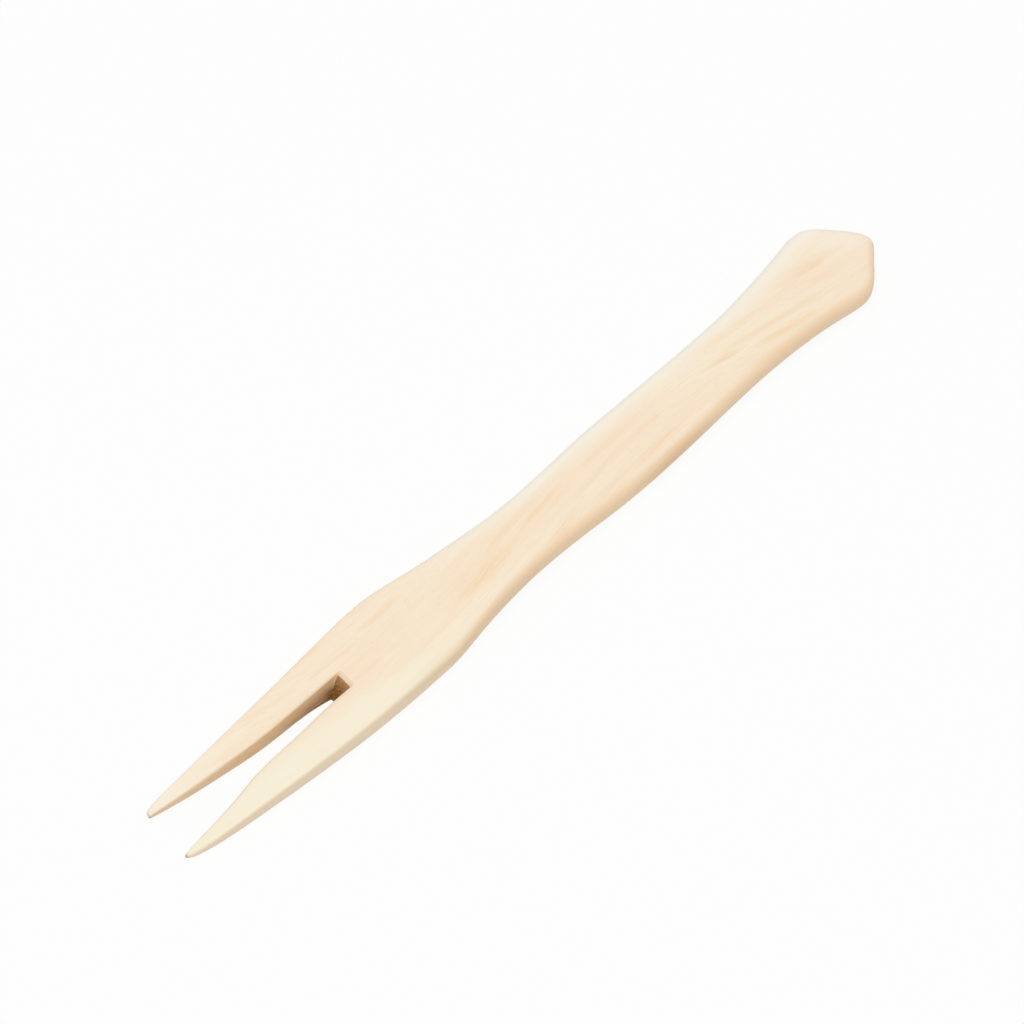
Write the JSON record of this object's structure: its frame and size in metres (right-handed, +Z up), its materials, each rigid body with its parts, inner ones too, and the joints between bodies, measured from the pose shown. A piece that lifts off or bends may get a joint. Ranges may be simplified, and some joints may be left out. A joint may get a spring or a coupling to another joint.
{
  "type": "fork",
  "caption": "Flat wooden fork carved from one board, with tapering tines, a waisted handle and a gabled end; holds or turns food.",
  "frame": {"origin": "middle of the footprint, on the surface that the flat underside lies on", "axes": "+X along the fork toward the tine tips, +Y across it, +Z up out of the top face"},
  "size_m": [0.199, 0.0228, 0.0072],
  "materials": {
    "pale_wood": "scraped smooth, unfinished"
  },
  "bodies": {
    "root": {"carved_fork": "pale_wood"}
  },
  "joints": []
}
